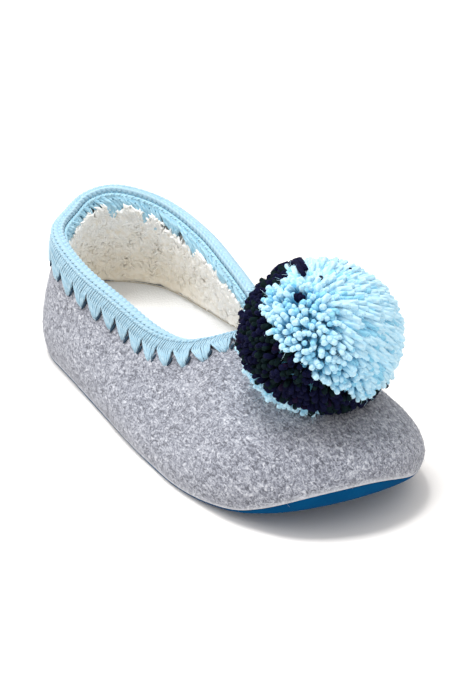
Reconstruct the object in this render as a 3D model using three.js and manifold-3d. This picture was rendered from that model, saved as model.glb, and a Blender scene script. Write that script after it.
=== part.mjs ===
// A low-cut felt house slipper for the right foot, standing empty on its sole.
// It is put together from an outsole, an insole, a hollow felt upper, a crocheted edging that is worked
// over the collar, and a pompom sewn to the vamp. Millimetres; +X runs to the toe, +Y to the inner side
// of the foot, +Z up. The origin is on the floor, under the middle of the slipper's bounding box.

import * as THREE from "three";
import { mergeVertices } from "three/addons/utils/BufferGeometryUtils.js";
import Module from "manifold-3d";

// The last: the form that the slipper is pulled over.
const LENGTH = 250; // heel to toe, at the fullest
const SOLE_WIDTH = 90; // outsole across the ball
const HEEL_HEIGHT = 65; // the upper's collar above the floor at the back of the heel
const INSTEP_HEIGHT = 46; // the same at the front of the throat
const OPENING_LENGTH = 134; // collar, back to front
const OPENING_WIDTH = 62; // collar at its widest
const HEEL_LEAN = 15; // how far the back of the collar stands ahead of the last's back end
const THROAT_TURN = 3; // how far the throat swings to the inner side
const TOE_TURN = 4; // how far the toe swings to the inner side
const FULLNESS = 8; // how far the toe swells out past the sole's edge
const TOE_SPRING = 13.5; // lift of the sole at the toe
const ARCH_RISE = 2; // lift of the sole at the waist, on the inner side of the foot
const SOLE_LIFT = 0.8; // the sole's edge rounds up this far off the floor
const SOLE_ROUND = 5; // width of that rounding

// Walls, layers and the clearance between pieces that touch.
const WALL = 3; // felt with the backing of its lining
const SOLE_THICKNESS = 4;
const INSOLE_THICKNESS = 7;
const SIDE_TURN_UP = 0.4; // height of the outsole's turned-up edge at the heel and sides
const TOE_TURN_UP = 8.5; // the same at the outer front of the toe, where it is highest
const TURN_UP_RISE = [0.37, 0.465]; // places round the slipper where it starts to rise and is highest
const TURN_UP_FALL = [0.485, 0.56]; // where it starts to fall again, and ends
const LIP = 1; // the outsole's edge reaches in this far past the upper's wall
const PLATFORM_INSET = 2; // from that lip to the raised middle of the outsole
const CLEARANCE = 0.3;

// The crocheted edging: a rolled band on the collar, with fans of stitches drawn together at their tips.
const BAND_DEPTH = 4; // the band's reach down either side of the collar
const BAND_HEIGHT = 2.4; // the band above the collar's cut edge
const BAND_THICKNESS = 2.6;
const FAN_THICKNESS = 1.8;
const HEEL_FAN_PITCH = 13.6; // spacing of the fans along the collar, at the heel
const THROAT_FAN_PITCH = 7.8; // the same at the throat
const FAN_LENGTH_SHARE = 0.85; // length of a fan outside the collar, as a share of the spacing there
const INNER_FAN_SHARE = 0.62; // the same inside the collar
const FAN_TIP_SHARE = 0.3; // width of a fan's tip, as a share of the spacing
const FAN_ROOT_SHARE = 0.25; // depth of the gap between two fans, as a share of their length

// The pompom.
const POMPOM_RADIUS = 31.5; // to the mean yarn end
const POMPOM_REACH = 52.5; // from the throat to its seat, along the vamp
const POMPOM_SINK = 9.4; // how far it is pressed on to the vamp
const LOCK_LENGTH = 6; // yarn lock standing out of the core
const LOCK_WIDTH = 11.5;
const LOCK_COUNT = 82;

// Sections of the last, from the heel's back to the toe's tip. Every row is one profile that rises from
// the sole's edge to the collar, on the outer and on the inner side of the foot. sole_x is a share of
// LENGTH; sole_outer and sole_inner are half widths of the sole and shares of SOLE_WIDTH; collar_x is a
// share of OPENING_LENGTH; collar_outer and collar_inner are half widths of the opening and shares of
// OPENING_WIDTH; outer_z and inner_z are the collar's height, from INSTEP_HEIGHT at 0 to HEEL_HEIGHT at 1;
// swell is a share of FULLNESS; rise and cap are the heights of the profile's two handles, as shares of
// its own height, and reach is how far the upper handle stands in from the sole's edge to the collar.
const COLUMNS = [
  "sole_x", "sole_outer", "sole_inner", "collar_x", "collar_outer", "collar_inner", "outer_z", "inner_z",
  "swell", "rise", "reach", "cap",
];
const SECTIONS = [
  [0.016, 0.0, 0.0, 0.0, 0.0, 0.0, 1.0, 1.0, 0.5, 0.38, 1.0, 0.55], // heel back
  [0.037, 0.2, 0.186, 0.033, 0.195, 0.225, 0.816, 1.053, 0.49, 0.38, 1.0, 0.55], // heel corner
  [0.12, 0.36, 0.334, 0.155, 0.448, 0.456, 0.674, 0.79, 0.49, 0.38, 1.0, 0.55], // heel seat
  [0.26, 0.412, 0.368, 0.36, 0.506, 0.524, 0.326, 0.442, 0.49, 0.38, 1.0, 0.55], // front of the heel
  [0.42, 0.463, 0.388, 0.58, 0.464, 0.482, 0.0, 0.095, 0.49, 0.38, 1.0, 0.55], // waist
  [0.58, 0.509, 0.443, 0.76, 0.42, 0.428, -0.253, -0.221, 0.53, 0.39, 0.91, 0.59], // back of the ball
  [0.72, 0.518, 0.49, 0.89, 0.345, 0.345, -0.253, -0.253, 0.6, 0.41, 0.69, 0.7], // ball
  [0.86, 0.448, 0.42, 0.96, 0.25, 0.25, -0.105, -0.105, 0.78, 0.44, 0.4, 0.82], // toes
  [0.94, 0.285, 0.275, 0.99, 0.155, 0.155, -0.021, -0.021, 0.92, 0.46, 0.18, 0.92], // toe corner
  [0.972, 0.0, 0.0, 1.0, 0.0, 0.0, 0.0, 0.0, 0.92, 0.47, 0.08, 0.96], // toe tip
];
const HANDLE_SWELL = 1.9; // the lower handle stands out this many times the swell
const UPPER_SWELL = 0.6; // the upper handle, where it is over the collar
const HEEL_FLAT_END = 0.3; // of LENGTH: the sole leaves the floor for the arch
const BALL_FLAT_START = 0.56; // it comes back
const SPRING_START = 0.686; // the toe spring begins

// Fineness of the meshes.
const OUTER_ROWS = 7; // of the wall below the edging
const INNER_ROWS = 4;
const PROFILE_STEPS = 40;

const wasm = await Module();
wasm.setup();

const UP = new THREE.Vector3(0, 0, 1);

// The rows as a closed loop: heel, outer side, toe, inner side and back to the heel.
const LAST_ROW = SECTIONS.length - 1;
const LOOP_ROWS = 2 * LAST_ROW;

function sectionRow(index) {
  const turn = ((index % LOOP_ROWS) + LOOP_ROWS) % LOOP_ROWS;
  const inner = turn > LAST_ROW;
  const place = inner ? LOOP_ROWS - turn : turn;
  const row = Object.fromEntries(COLUMNS.map((name, i) => [name, SECTIONS[place][i]]));
  const side = inner ? 1 : -1;
  const toeward = place / LAST_ROW;
  return {
    sole_x: row.sole_x * LENGTH,
    sole_y: side * (inner ? row.sole_inner : row.sole_outer) * SOLE_WIDTH + TOE_TURN * toeward ** 4,
    collar_x: HEEL_LEAN + row.collar_x * OPENING_LENGTH,
    collar_y: side * (inner ? row.collar_inner : row.collar_outer) * OPENING_WIDTH
      + THROAT_TURN * row.collar_x,
    collar_z: INSTEP_HEIGHT + (HEEL_HEIGHT - INSTEP_HEIGHT) * (inner ? row.inner_z : row.outer_z),
    swell: row.swell * FULLNESS,
    rise: row.rise,
    reach: row.reach,
    cap: row.cap,
  };
}

// All columns at any place u of the loop, from 0 to 1, on a smooth curve through the rows.
function section(u) {
  const at = u * LOOP_ROWS;
  const index = Math.floor(at);
  const t = at - index;
  const rows = [-1, 0, 1, 2].map((step) => sectionRow(index + step));
  const found = {};
  for (const name of Object.keys(rows[0])) {
    const [a, b, c, d] = rows.map((row) => row[name]);
    found[name] =
      b + 0.5 * t * (c - a + t * (2 * a - 5 * b + 4 * c - d + t * (3 * (b - c) + d - a)));
  }
  return found;
}

const { clamp, lerp, smoothstep } = THREE.MathUtils;

// Height of the sole's underside above the floor: flat heel, raised waist, flat ball, toe spring.
function soleHeight(x, y) {
  const share = x / LENGTH;
  if (share > SPRING_START) {
    const tip = SECTIONS[LAST_ROW][0];
    return TOE_SPRING * ((share - SPRING_START) / (tip - SPRING_START)) ** 2;
  }
  if (share < HEEL_FLAT_END || share > BALL_FLAT_START) return 0;
  const across = (share - HEEL_FLAT_END) / (BALL_FLAT_START - HEEL_FLAT_END);
  const innerwards = clamp(0.5 + y / (0.8 * SOLE_WIDTH), 0, 1);
  return ARCH_RISE * innerwards * Math.sin(Math.PI * across) ** 2;
}

// The sole's edge, with its outward direction in plan.
function soleEdge(u) {
  const here = section(u);
  const [back, ahead] = [section(u - 1e-4), section(u + 1e-4)];
  const outward = new THREE.Vector3(ahead.sole_y - back.sole_y, back.sole_x - ahead.sole_x, 0);
  outward.normalize();
  const point = new THREE.Vector3(here.sole_x, here.sole_y, 0);
  point.z = soleHeight(point.x, point.y) + SOLE_LIFT;
  return { point, outward };
}

// The last's outer form: u runs round the slipper, v up the profile from the sole's edge to the collar.
const profiles = new Map();
function profile(u) {
  if (profiles.has(u)) return profiles.get(u);
  const row = section(u);
  const { point: foot, outward } = soleEdge(u);
  const collar = new THREE.Vector3(row.collar_x, row.collar_y, row.collar_z);
  const height = collar.z - foot.z;
  const lower = foot.clone().addScaledVector(outward, row.swell * HANDLE_SWELL);
  lower.z += height * row.rise;
  const upper = foot.clone().lerp(collar, row.reach);
  upper.addScaledVector(outward, row.swell * UPPER_SWELL * row.reach);
  upper.z = foot.z + height * row.cap;
  const curve = new THREE.CubicBezierCurve3(foot, lower, upper, collar);
  profiles.set(u, curve);
  return curve;
}

// A point of the form, moved out by offset along the surface's normal.
function form(u, v, offset) {
  const step = 1e-3;
  const curve = profile(u);
  const point = curve.getPoint(v);
  const along = curve.getPoint(Math.min(v + step, 1)).sub(curve.getPoint(Math.max(v - step, 0)));
  const round = profile(u + step).getPoint(v).sub(profile(u - step).getPoint(v));
  return point.addScaledVector(round.cross(along).normalize(), offset);
}

// The v that lies a given distance up the profile from the sole's edge.
function climb(u, distance) {
  const curve = profile(u);
  let walked = 0;
  let last = curve.getPoint(0);
  for (let i = 1; i <= PROFILE_STEPS; i++) {
    const next = curve.getPoint(i / PROFILE_STEPS);
    const step = next.distanceTo(last);
    if (walked + step >= distance) return (i - 1 + (distance - walked) / step) / PROFILE_STEPS;
    walked += step;
    last = next;
  }
  return 1;
}

const profileLength = (u) => profile(u).getPoints(PROFILE_STEPS).reduce(
  (sum, point, i, all) => sum + (i ? point.distanceTo(all[i - 1]) : 0), 0,
);

// A point at a depth down from the collar's edge, or above it where the depth is negative.
function fromCollar(u, depth, offset) {
  if (depth > 0) return form(u, climb(u, profileLength(u) - depth), offset);
  const slope = profile(u).getTangent(1);
  return form(u, 1, offset).addScaledVector(slope, -depth);
}

// Where the outsole's turned-up edge meets the upper.
const turnUp = (u) => lerp(
  SIDE_TURN_UP, TOE_TURN_UP, smoothstep(u, ...TURN_UP_RISE) * (1 - smoothstep(u, ...TURN_UP_FALL)),
);

const collarEdge = (u) => profile(u).getPoint(1);

// The spacing and the length of the fans, which grow smaller from the heel to the throat.
const fanPitch = (u) =>
  lerp(HEEL_FAN_PITCH, THROAT_FAN_PITCH, (section(u).collar_x - HEEL_LEAN) / OPENING_LENGTH);
const fanLength = (u) => fanPitch(u) * FAN_LENGTH_SHARE;
const innerFanLength = (u) => fanPitch(u) * INNER_FAN_SHARE;

// Where the fans part: places u on half the loop, a whole number of fans, then mirrored on the other.
function fanPlaces() {
  const fine = 720;
  const counted = [0];
  for (let i = 1; i <= fine; i++) {
    const [a, b] = [(i - 1) / fine / 2, i / fine / 2];
    counted.push(counted[i - 1] + collarEdge(a).distanceTo(collarEdge(b)) / fanPitch((a + b) / 2));
  }
  const fans = Math.round(counted[fine]);
  const half = [];
  for (let n = 0, i = 0; n <= fans; n++) {
    const wanted = (counted[fine] * n) / fans;
    while (i < fine - 1 && counted[i + 1] < wanted) i++;
    half.push((i + (wanted - counted[i]) / (counted[i + 1] - counted[i])) / fine / 2);
  }
  return [...half, ...half.slice(1, -1).reverse().map((u) => 1 - u)];
}

// The stations that every piece shares, three to a fan of the edging: the gap before the fan, where it
// is shortest, and the two corners of its tip.
const fanGaps = fanPlaces();
const stations = fanGaps.flatMap((start, i) => {
  const end = i + 1 < fanGaps.length ? fanGaps[i + 1] : 1;
  const at = (share) => start + (end - start) * share;
  return [start, at(0.5 - FAN_TIP_SHARE / 2), at(0.5 + FAN_TIP_SHARE / 2)];
});
const isTip = (index) => index % 3 !== 0;

// A closed skin through rings that each have one point for every station. The rings run outwards-facing,
// and the last one joins the first where the form is a tube round the slipper.
function skin(rings, closedTube) {
  const count = rings[0].length;
  const points = rings.flat();
  const triangles = [];
  const last = closedTube ? rings.length : rings.length - 1;
  for (let r = 0; r < last; r++) {
    for (let i = 0; i < count; i++) {
      const j = (i + 1) % count;
      const next = ((r + 1) % rings.length) * count;
      const [a, b, c, d] = [r * count + i, r * count + j, next + j, next + i];
      triangles.push(a, b, c, a, c, d);
    }
  }
  return { points, triangles };
}

// Strips from one side of a ring straight across to the other, which close a form underneath or on top.
function across(ring, first, facingUp) {
  const triangles = [];
  const count = ring.length;
  const add = (a, b, c) => triangles.push(first + a, first + (facingUp ? b : c), first + (facingUp ? c : b));
  for (let i = 0; i < count / 2; i++) {
    const [a, b] = [i, i + 1];
    const [c, d] = [(count - i - 1) % count, (count - i) % count];
    if (b !== c) add(a, b, c);
    if (a !== d) add(a, c, d);
  }
  return triangles;
}

function geometryOf({ points, triangles }) {
  const geometry = new THREE.BufferGeometry();
  geometry.setFromPoints(points);
  geometry.setIndex(triangles);
  return geometry;
}

// A stack of rings with both ends closed by strips across.
function stack(rings) {
  const made = skin(rings, false);
  const top = (rings.length - 1) * rings[0].length;
  made.triangles.push(...across(rings[0], 0, false), ...across(rings[rings.length - 1], top, true));
  return geometryOf(made);
}

function solid(geometry) {
  const bare = geometry.clone();
  bare.deleteAttribute("normal");
  bare.deleteAttribute("uv");
  const merged = mergeVertices(bare, 1e-4);
  return new wasm.Manifold(
    new wasm.Mesh({
      numProp: 3,
      vertProperties: merged.attributes.position.array,
      triVerts: new Uint32Array(merged.index.array),
    }),
  );
}

function fromSolid(manifold) {
  const mesh = manifold.getMesh();
  const geometry = new THREE.BufferGeometry();
  geometry.setAttribute("position", new THREE.BufferAttribute(mesh.vertProperties, 3));
  geometry.setIndex(new THREE.BufferAttribute(mesh.triVerts, 1));
  return geometry;
}

// The point straight above or below another, at a height over the sole's underside.
const overSole = (point, height) =>
  new THREE.Vector3(point.x, point.y, soleHeight(point.x, point.y) + height);

// The outsole: a padded sole, rounded up at its edge and turned up round the toe, with a lip that the
// upper's edge is sewn to and a raised middle inside it.
function outsole() {
  const underside = stations.map((u) => {
    const { point, outward } = soleEdge(u);
    const inset = point.clone().addScaledVector(outward, -SOLE_ROUND);
    return overSole(inset, 0);
  });
  const ring = (share) => stations.map((u) => form(u, climb(u, turnUp(u) * share), 0));
  const lip = stations.map((u) => form(u, climb(u, turnUp(u)), -(WALL + LIP)));
  const middle = stations.map((u) => {
    const edge = form(u, climb(u, turnUp(u)), -(WALL + LIP + PLATFORM_INSET));
    return overSole(edge, SOLE_THICKNESS);
  });
  return stack([underside, ring(0), ring(0.5), ring(1), lip, middle]);
}

// The insole lies on the outsole's middle and fills the upper from side to side.
function insole() {
  const layer = (inset, height) => stations.map((u) => {
    const edge = form(u, climb(u, turnUp(u)), -(WALL + LIP + inset));
    return overSole(edge, SOLE_THICKNESS + CLEARANCE + height);
  });
  return stack([layer(PLATFORM_INSET + CLEARANCE, 0), layer(2 * CLEARANCE, INSOLE_THICKNESS)]);
}

// The upper: one hollow wall from the outsole's lip to the collar, open above and below. Its rows under
// the edging follow the edging's own.
function upper() {
  const rows = (count, depths, offset) => {
    const made = depths.map((depth) => stations.map((u) => fromCollar(u, depth(u), offset)));
    const lowest = depths[depths.length - 1];
    for (let i = 1; i <= count; i++) {
      made.push(stations.map((u) => {
        const [bottom, top] = [climb(u, turnUp(u) + CLEARANCE), climb(u, profileLength(u) - lowest(u))];
        return form(u, top + (bottom - top) * (i / count), offset);
      }));
    }
    return made;
  };
  const outside = rows(OUTER_ROWS, [
    () => 0, () => BAND_DEPTH, (u) => BAND_DEPTH + fanLength(u) / 2, (u) => BAND_DEPTH + fanLength(u),
  ], 0);
  const inside = rows(INNER_ROWS, [() => 0, () => BAND_DEPTH, (u) => BAND_DEPTH + innerFanLength(u)], -WALL);
  return geometryOf(skin([...outside.reverse(), ...inside], true));
}

// The crocheted edging. Its section is a channel over the collar's edge; its two skirts are cut into fans.
function edging() {
  const outside = CLEARANCE;
  const inside = -(WALL + CLEARANCE);
  const ring = (depth, offset) => stations.map((u) => fromCollar(u, depth, offset));
  const scallop = (length, offset) => stations.map((u, i) =>
    fromCollar(u, BAND_DEPTH + length(u) * (isTip(i) ? 1 : FAN_ROOT_SHARE), offset));
  return geometryOf(skin([
    scallop(fanLength, outside),
    scallop(fanLength, outside + FAN_THICKNESS),
    ring(BAND_DEPTH, outside + FAN_THICKNESS),
    ring(BAND_DEPTH * 0.4, outside + BAND_THICKNESS),
    ring(-BAND_HEIGHT * 0.7, outside + BAND_THICKNESS * 0.4),
    ring(-BAND_HEIGHT, -WALL / 2),
    ring(-BAND_HEIGHT * 0.7, inside - BAND_THICKNESS * 0.4),
    ring(BAND_DEPTH * 0.4, inside - BAND_THICKNESS),
    ring(BAND_DEPTH, inside - FAN_THICKNESS),
    scallop(innerFanLength, inside - FAN_THICKNESS),
    scallop(innerFanLength, inside),
    ring(BAND_DEPTH, inside),
    ring(-CLEARANCE, inside),
    ring(-CLEARANCE, outside),
    ring(BAND_DEPTH, outside),
  ], true));
}

// What the pompom must clear: the last's whole form and the edging's outside, each grown by the clearance.
function keptClear() {
  const whole = [];
  const rows = OUTER_ROWS + 5;
  for (let i = 0; i <= rows; i++) whole.push(stations.map((u) => form(u, i / rows, CLEARANCE)));
  const thick = 2 * CLEARANCE + BAND_THICKNESS;
  const reach = (u) => BAND_DEPTH + fanLength(u) + CLEARANCE;
  const corners = [
    [reach, 0],
    [reach, thick],
    [() => BAND_DEPTH, thick],
    [() => -BAND_HEIGHT - CLEARANCE, thick],
    [() => -BAND_HEIGHT - CLEARANCE, 0],
  ];
  const around = corners.map(([depth, offset]) => stations.map((u) => fromCollar(u, depth(u), offset)));
  return solid(stack(whole)).add(solid(geometryOf(skin(around, true))));
}

// The pompom: a round core with locks of yarn fused on, pressed on to the vamp.
function pompom() {
  const seatPlace = 0.5;
  const seat = fromCollar(seatPlace, POMPOM_REACH, 0);
  const centre = fromCollar(seatPlace, POMPOM_REACH, POMPOM_RADIUS - POMPOM_SINK);
  const outwards = centre.clone().sub(seat).normalize();
  const coreRadius = POMPOM_RADIUS - LOCK_LENGTH;
  let made = solid(new THREE.IcosahedronGeometry(coreRadius, 2));
  const locks = [];
  const golden = Math.PI * (3 - Math.sqrt(5));
  for (let i = 0; i < LOCK_COUNT; i++) {
    const height = 1 - (2 * (i + 0.5)) / LOCK_COUNT;
    const ringRadius = Math.sqrt(1 - height * height);
    const direction = new THREE.Vector3(
      ringRadius * Math.cos(i * golden), ringRadius * Math.sin(i * golden), height,
    );
    locks.push(solid(lock(direction, coreRadius, i)));
  }
  made = wasm.Manifold.union([made, ...locks]);
  const turn = new THREE.Quaternion().setFromUnitVectors(UP, outwards);
  const geometry = fromSolid(made).applyQuaternion(turn).translate(centre.x, centre.y, centre.z);
  return fromSolid(solid(geometry).subtract(keptClear()));
}

// One lock: four-sided, wider at its end, with a blunt point. Lengths vary a little, as on cut yarn.
function lock(direction, coreRadius, index) {
  const uneven = 0.9 * Math.sin(index * 2.4) * Math.cos(index * 0.7);
  const length = LOCK_LENGTH + uneven;
  const outline = [
    new THREE.Vector2(0, -LOCK_LENGTH / 2),
    new THREE.Vector2(LOCK_WIDTH * 0.38, -LOCK_LENGTH / 2),
    new THREE.Vector2(LOCK_WIDTH / 2, length - LOCK_LENGTH * 0.3),
    new THREE.Vector2(0, length),
  ];
  const geometry = new THREE.LatheGeometry(outline, 4).rotateY(index * 0.8);
  const turn = new THREE.Quaternion().setFromUnitVectors(new THREE.Vector3(0, 1, 0), direction);
  const place = direction.clone().multiplyScalar(coreRadius);
  return geometry.applyQuaternion(turn).translate(place.x, place.y, place.z);
}

function piece(name, geometry, colour, roughness) {
  const material = new THREE.MeshStandardMaterial({ color: colour, roughness, metalness: 0 });
  const mesh = new THREE.Mesh(geometry, material);
  mesh.name = name;
  return mesh;
}

const slipper = new THREE.Group();
slipper.add(
  piece("outsole", outsole(), 0x1f5c96, 0.75),
  piece("insole", insole(), 0xeeece8, 0.9),
  piece("upper", upper(), 0x9a9aa2, 1.0),
  piece("crochet_edging", edging(), 0xa9d9f0, 0.9),
  piece("pompom", pompom(), 0x9fd6ee, 0.95),
);

// The origin goes on the floor, under the middle of the whole slipper.
const bounds = new THREE.Box3().setFromObject(slipper);
const middle = bounds.getCenter(new THREE.Vector3());
slipper.position.set(-middle.x, -middle.y, -bounds.min.z);

export default slipper;
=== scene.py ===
# A low-cut felt house slipper for the right foot, on a pale studio floor.
# The sections follow the order it is put together in: sole, insole, felt, fleece, crocheted edging, pompom.

import math

import bpy
import numpy as np
from mathutils import Matrix, Vector
from mathutils.bvhtree import BVHTree


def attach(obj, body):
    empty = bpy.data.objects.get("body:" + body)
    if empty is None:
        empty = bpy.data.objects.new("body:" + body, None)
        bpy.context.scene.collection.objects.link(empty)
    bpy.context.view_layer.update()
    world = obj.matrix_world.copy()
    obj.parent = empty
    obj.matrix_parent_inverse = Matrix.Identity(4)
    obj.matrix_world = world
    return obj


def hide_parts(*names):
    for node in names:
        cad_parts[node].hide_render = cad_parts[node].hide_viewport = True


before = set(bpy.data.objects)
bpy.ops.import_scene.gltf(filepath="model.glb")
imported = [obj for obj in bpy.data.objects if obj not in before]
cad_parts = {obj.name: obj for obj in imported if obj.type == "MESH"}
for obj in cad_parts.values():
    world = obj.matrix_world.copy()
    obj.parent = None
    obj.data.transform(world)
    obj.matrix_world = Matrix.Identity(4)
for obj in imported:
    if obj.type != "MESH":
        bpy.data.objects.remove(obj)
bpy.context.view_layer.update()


# Camera. It looks down on the outer front of the slipper, a little tipped, from 0.9 m away.
camera_place = Vector((0.69735, -0.38581, 0.40363))
camera_look = Vector((-0.786593, 0.447832, -0.425109))
camera_tip = math.radians(-2.28)
camera_lens = bpy.data.cameras.new("camera")
camera_lens.sensor_width = 36.0
camera_lens.lens = 107.5
camera = bpy.data.objects.new("camera", camera_lens)
bpy.context.collection.objects.link(camera)
camera_turn = camera_look.to_track_quat("-Z", "Y").to_matrix() @ Matrix.Rotation(camera_tip, 3, "Z")
camera.matrix_world = Matrix.Translation(camera_place) @ camera_turn.to_4x4()
bpy.context.scene.camera = camera


# Outsole. A soft moulded sole in plain blue, rounded at its edge and turned up round the front of the toe.
# The upper is stitched down on its lip, out of sight, before the sole is closed.
def select_only(piece):
    """Selects one piece alone, for the operators."""
    bpy.ops.object.select_all(action="DESELECT")
    piece.select_set(True)
    bpy.context.view_layer.objects.active = piece


def merged_copy(node, name):
    """A piece that starts as a CAD node's own shape, with its loose triangles joined into quads."""
    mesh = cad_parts[node].data.copy()
    mesh.materials.clear()
    piece = bpy.data.objects.new(name, mesh)
    bpy.context.collection.objects.link(piece)
    select_only(piece)
    if mesh.has_custom_normals:
        bpy.ops.mesh.customdata_custom_splitnormals_clear()
    bpy.ops.object.mode_set(mode="EDIT")
    bpy.ops.mesh.select_all(action="SELECT")
    bpy.ops.mesh.remove_doubles(threshold=2e-6)
    bpy.ops.mesh.tris_convert_to_quads()
    bpy.ops.object.mode_set(mode="OBJECT")
    return piece


def firm_edges(piece, degrees, firmness):
    """Keeps the edges that are sharper than some degrees from melting away when the piece is rounded."""
    select_only(piece)
    bpy.ops.object.mode_set(mode="EDIT")
    bpy.ops.mesh.select_mode(type="EDGE")
    bpy.ops.mesh.select_all(action="DESELECT")
    bpy.ops.mesh.edges_select_sharp(sharpness=math.radians(degrees))
    bpy.ops.transform.edge_crease(value=firmness)
    bpy.ops.mesh.select_mode(type="VERT")
    bpy.ops.object.mode_set(mode="OBJECT")


def apply_modifier(piece, kind, **settings):
    select_only(piece)
    modifier = piece.modifiers.new(kind.lower(), kind)
    for name, value in settings.items():
        setattr(modifier, name, value)
    bpy.ops.object.modifier_apply(modifier=modifier.name)


def smooth_faces(piece, degrees=None):
    select_only(piece)
    if degrees is None:
        bpy.ops.object.shade_smooth()
    else:
        bpy.ops.object.shade_smooth_by_angle(angle=math.radians(degrees))


def new_material(name, roughness, specular=0.5, sheen=0.0, sheen_roughness=0.5):
    """A material with its node tree and its shader."""
    material = bpy.data.materials.new(name)
    material.use_nodes = True
    tree = material.node_tree
    shader = tree.nodes["Principled BSDF"]
    shader.inputs["Roughness"].default_value = roughness
    shader.inputs["Specular IOR Level"].default_value = specular
    shader.inputs["Sheen Weight"].default_value = sheen
    shader.inputs["Sheen Roughness"].default_value = sheen_roughness
    return material, tree, shader


def add_node(tree, kind, inputs=(), **settings):
    """Adds a node; inputs pairs a socket name or number with a value or with another node's output."""
    node = tree.nodes.new(kind)
    for name, value in settings.items():
        setattr(node, name, value)
    for socket, value in dict(inputs).items():
        if isinstance(value, bpy.types.NodeSocket):
            tree.links.new(value, node.inputs[socket])
        else:
            node.inputs[socket].default_value = value
    return node


def colour_ramp(tree, factor, stops):
    """stops pairs a place from 0 to 1 with a colour."""
    ramp = add_node(tree, "ShaderNodeValToRGB", {"Fac": factor})
    for i, (place, colour) in enumerate(stops):
        stop = ramp.color_ramp.elements[i] if i < 2 else ramp.color_ramp.elements.new(place)
        stop.position = place
        stop.color = (*colour, 1.0)
    return ramp.outputs["Color"]


def mixed_colour(tree, factor, first, second):
    """Mixes two colours or colour outputs."""
    mix = add_node(tree, "ShaderNodeMix", {0: factor}, data_type="RGBA")
    for socket, value in ((6, first), (7, second)):
        if isinstance(value, bpy.types.NodeSocket):
            tree.links.new(value, mix.inputs[socket])
        else:
            mix.inputs[socket].default_value = (*value, 1.0)
    return mix.outputs[2]


def object_place(tree):
    return add_node(tree, "ShaderNodeTexCoord").outputs["Object"]


def noise(tree, place, scale, detail=2.0, roughness=0.5, distortion=0.0):
    sockets = {"Vector": place, "Scale": scale, "Detail": detail}
    sockets.update({"Roughness": roughness, "Distortion": distortion})
    return add_node(tree, "ShaderNodeTexNoise", sockets).outputs["Fac"]


def work_out(tree, operation, *values):
    """One step of arithmetic on numbers and outputs."""
    return add_node(tree, "ShaderNodeMath", dict(enumerate(values)), operation=operation).outputs["Value"]


def paint(tree, shader, colour):
    tree.links.new(colour, shader.inputs["Base Color"])


def roughen(tree, shader, height, strength, distance):
    """Raises and lowers the surface by a pattern, as a bump."""
    bump = add_node(tree, "ShaderNodeBump", {"Height": height, "Strength": strength, "Distance": distance})
    tree.links.new(bump.outputs["Normal"], shader.inputs["Normal"])


def speckled(tree, shader, scale, dark, light):
    """Colours a fine piece unevenly, between a dark and a light shade."""
    spots = noise(tree, object_place(tree), scale)
    paint(tree, shader, colour_ramp(tree, spots, [(0.35, dark), (0.65, light)]))


sole = merged_copy("outsole", "moulded_sole")
firm_edges(sole, degrees=40, firmness=0.6)
apply_modifier(sole, "SUBSURF", levels=2, render_levels=2)
smooth_faces(sole, degrees=50)
sole_foam, tree, shader = new_material("blue_sole_foam", roughness=0.85, specular=0.03)
place = object_place(tree)
sole_blues = [(0.35, (0.0, 0.042, 0.125)), (0.75, (0.001, 0.066, 0.175))]
paint(tree, shader, colour_ramp(tree, noise(tree, place, scale=55.0, detail=4.0), sole_blues))
pebble = add_node(tree, "ShaderNodeTexVoronoi", {"Vector": place, "Scale": 1100.0}).outputs["Distance"]
roughen(tree, shader, pebble, strength=0.3, distance=0.0003)
sole.data.materials.append(sole_foam)
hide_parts("outsole")
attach(sole, "root")


# Insole. A white padded footbed of foam covered in brushed cotton, glued down on the sole.
# Its edge is rounded where the cotton is pulled over the foam.
footbed = merged_copy("insole", "padded_footbed")
apply_modifier(footbed, "BEVEL", width=0.0022, segments=3, limit_method="ANGLE", angle_limit=math.radians(40))
smooth_faces(footbed, degrees=50)
footbed_cloth, tree, shader = new_material("brushed_white_cotton", roughness=0.95, specular=0.2, sheen=0.2)
place = object_place(tree)
cotton_whites = [(0.3, (0.80, 0.80, 0.795)), (0.7, (0.86, 0.86, 0.855))]
paint(tree, shader, colour_ramp(tree, noise(tree, place, scale=45.0, detail=3.0), cotton_whites))
roughen(tree, shader, noise(tree, place, scale=1400.0, detail=3.0), strength=0.5, distance=0.0004)
footbed.data.materials.append(footbed_cloth)
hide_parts("insole")
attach(footbed, "root")


# Upper. Thick wool felt in heathered grey, wet-shaped over the last and drawn in under the foot.
# It has no seam but the one at the sole. It sags in a few soft hollows where the last has been pulled out.
length = 0.250
sole_width = 0.090
heel_height = 0.065
instep_height = 0.046
opening_length = 0.134
opening_width = 0.062
heel_lean = 0.015
throat_turn = 0.003
toe_turn = 0.004
fullness = 0.008
handle_swell = 1.9
upper_swell = 0.6
toe_spring = 0.0135
arch_rise = 0.002
heel_flat_end = 0.30
arch_end = 0.56
spring_start = 0.686
sole_tip = 0.972
sole_lift = 0.0008
felt_wall = 0.003
side_turn_up = 0.0004
toe_turn_up = 0.0085
turn_up_rise = (0.37, 0.465)
turn_up_fall = (0.485, 0.56)
last_back = np.array([-0.124473, 0.000538, 0.0])

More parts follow.
